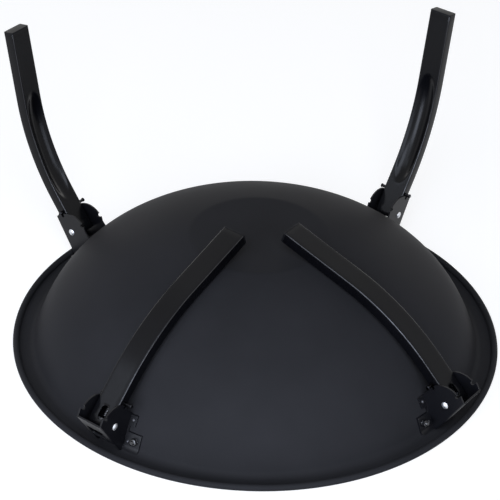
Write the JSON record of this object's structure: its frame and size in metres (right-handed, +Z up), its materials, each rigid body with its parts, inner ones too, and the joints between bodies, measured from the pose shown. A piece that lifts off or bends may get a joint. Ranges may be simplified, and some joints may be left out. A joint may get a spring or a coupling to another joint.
{
  "type": "folding fire bowl",
  "caption": "Black pressed-steel fire bowl on bent tube legs that fold, each held by a spring-pulled lock pin in a notched hinge bracket; stored upside down.",
  "frame": {"origin": "on the bowl's axis in the plane of the rim, which is the plane it stands on upside down", "axes": "+Z up, from the rim plane to the flat base of the upside-down bowl; +X right and +Y away from the viewer of the picture, with the open legs at +Y"},
  "size_m": [0.6269, 0.6269, 0.2992],
  "materials": {
    "bowl_black": "matte heat-proof black",
    "bracket_black": "matte heat-proof black",
    "leg_black": "satin black",
    "cap_black": "matte",
    "bright_zinc": "bright zinc plate",
    "dark_zinc": "dark zinc plate",
    "spring_wire": "plated spring wire"
  },
  "bodies": {
    "bowl": {"bowl": "bowl_black", "bracket_rear_right": "bracket_black", "hinge_rivet_rear_right": "bright_zinc", "bracket_bolts_rear_right": "bracket_black", "bracket_nuts_rear_right": "bracket_black", "bracket_washers_rear_right": "bracket_black", "tab_rivets_rear_right": "dark_zinc", "bracket_rear_left": "bracket_black", "hinge_rivet_rear_left": "bright_zinc", "bracket_bolts_rear_left": "bracket_black", "bracket_nuts_rear_left": "bracket_black", "bracket_washers_rear_left": "bracket_black", "tab_rivets_rear_left": "dark_zinc", "bracket_front_left": "bracket_black", "hinge_rivet_front_left": "bright_zinc", "bracket_bolts_front_left": "bracket_black", "bracket_nuts_front_left": "bracket_black", "bracket_washers_front_left": "bracket_black", "tab_rivets_front_left": "dark_zinc", "bracket_front_right": "bracket_black", "hinge_rivet_front_right": "bright_zinc", "bracket_bolts_front_right": "bracket_black", "bracket_nuts_front_right": "bracket_black", "bracket_washers_front_right": "bracket_black", "tab_rivets_front_right": "dark_zinc"},
    "leg_rear_right": {"leg_rear_right": "leg_black", "foot_cap_rear_right": "cap_black", "lock_spring_rear_right": "spring_wire"},
    "lock_pin_rear_right": {"lock_pin_rear_right": "dark_zinc"},
    "leg_rear_left": {"leg_rear_left": "leg_black", "foot_cap_rear_left": "cap_black", "lock_spring_rear_left": "spring_wire"},
    "lock_pin_rear_left": {"lock_pin_rear_left": "dark_zinc"},
    "leg_front_left": {"leg_front_left": "leg_black", "foot_cap_front_left": "cap_black", "lock_spring_front_left": "spring_wire"},
    "lock_pin_front_left": {"lock_pin_front_left": "dark_zinc"},
    "leg_front_right": {"leg_front_right": "leg_black", "foot_cap_front_right": "cap_black", "lock_spring_front_right": "spring_wire"},
    "lock_pin_front_right": {"lock_pin_front_right": "dark_zinc"}
  },
  "joints": [
    {"name": "leg_hinge_rear_right", "type": "hinge", "parent": "bowl", "child": "leg_rear_right", "pos_m": [0.17032, 0.23187, 0.042], "axis": [-0.8059, 0.592, 0], "range_deg": [-83, 0]},
    {"name": "lock_slide_rear_right", "type": "slide", "parent": "leg_rear_right", "child": "lock_pin_rear_right", "axis": [-0.3521, -0.4794, -0.8039], "range_m": [0, 0.0041], "stiffness_N_per_m": 600, "springref_m": 0.008, "deforming": ["lock_spring_rear_right"]},
    {"name": "leg_hinge_rear_left", "type": "hinge", "parent": "bowl", "child": "leg_rear_left", "pos_m": [-0.23187, 0.17032, 0.042], "axis": [-0.592, -0.8059, 0], "range_deg": [-83, 0]},
    {"name": "lock_slide_rear_left", "type": "slide", "parent": "leg_rear_left", "child": "lock_pin_rear_left", "axis": [0.4794, -0.3521, -0.8039], "range_m": [0, 0.0041], "stiffness_N_per_m": 600, "springref_m": 0.008, "deforming": ["lock_spring_rear_left"]},
    {"name": "leg_hinge_front_left", "type": "hinge", "parent": "bowl", "child": "leg_front_left", "pos_m": [-0.17032, -0.23187, 0.042], "axis": [0.8059, -0.592, 0], "range_deg": [0, 83]},
    {"name": "lock_slide_front_left", "type": "slide", "parent": "leg_front_left", "child": "lock_pin_front_left", "axis": [-0.4294, -0.5846, -0.6884], "range_m": [0, 0.0041], "stiffness_N_per_m": 600, "springref_m": 0.008, "deforming": ["lock_spring_front_left"]},
    {"name": "leg_hinge_front_right", "type": "hinge", "parent": "bowl", "child": "leg_front_right", "pos_m": [0.23187, -0.17032, 0.042], "axis": [0.592, 0.8059, 0], "range_deg": [0, 83]},
    {"name": "lock_slide_front_right", "type": "slide", "parent": "leg_front_right", "child": "lock_pin_front_right", "axis": [0.5846, -0.4294, -0.6884], "range_m": [0, 0.0041], "stiffness_N_per_m": 600, "springref_m": 0.008, "deforming": ["lock_spring_front_right"]}
  ]
}
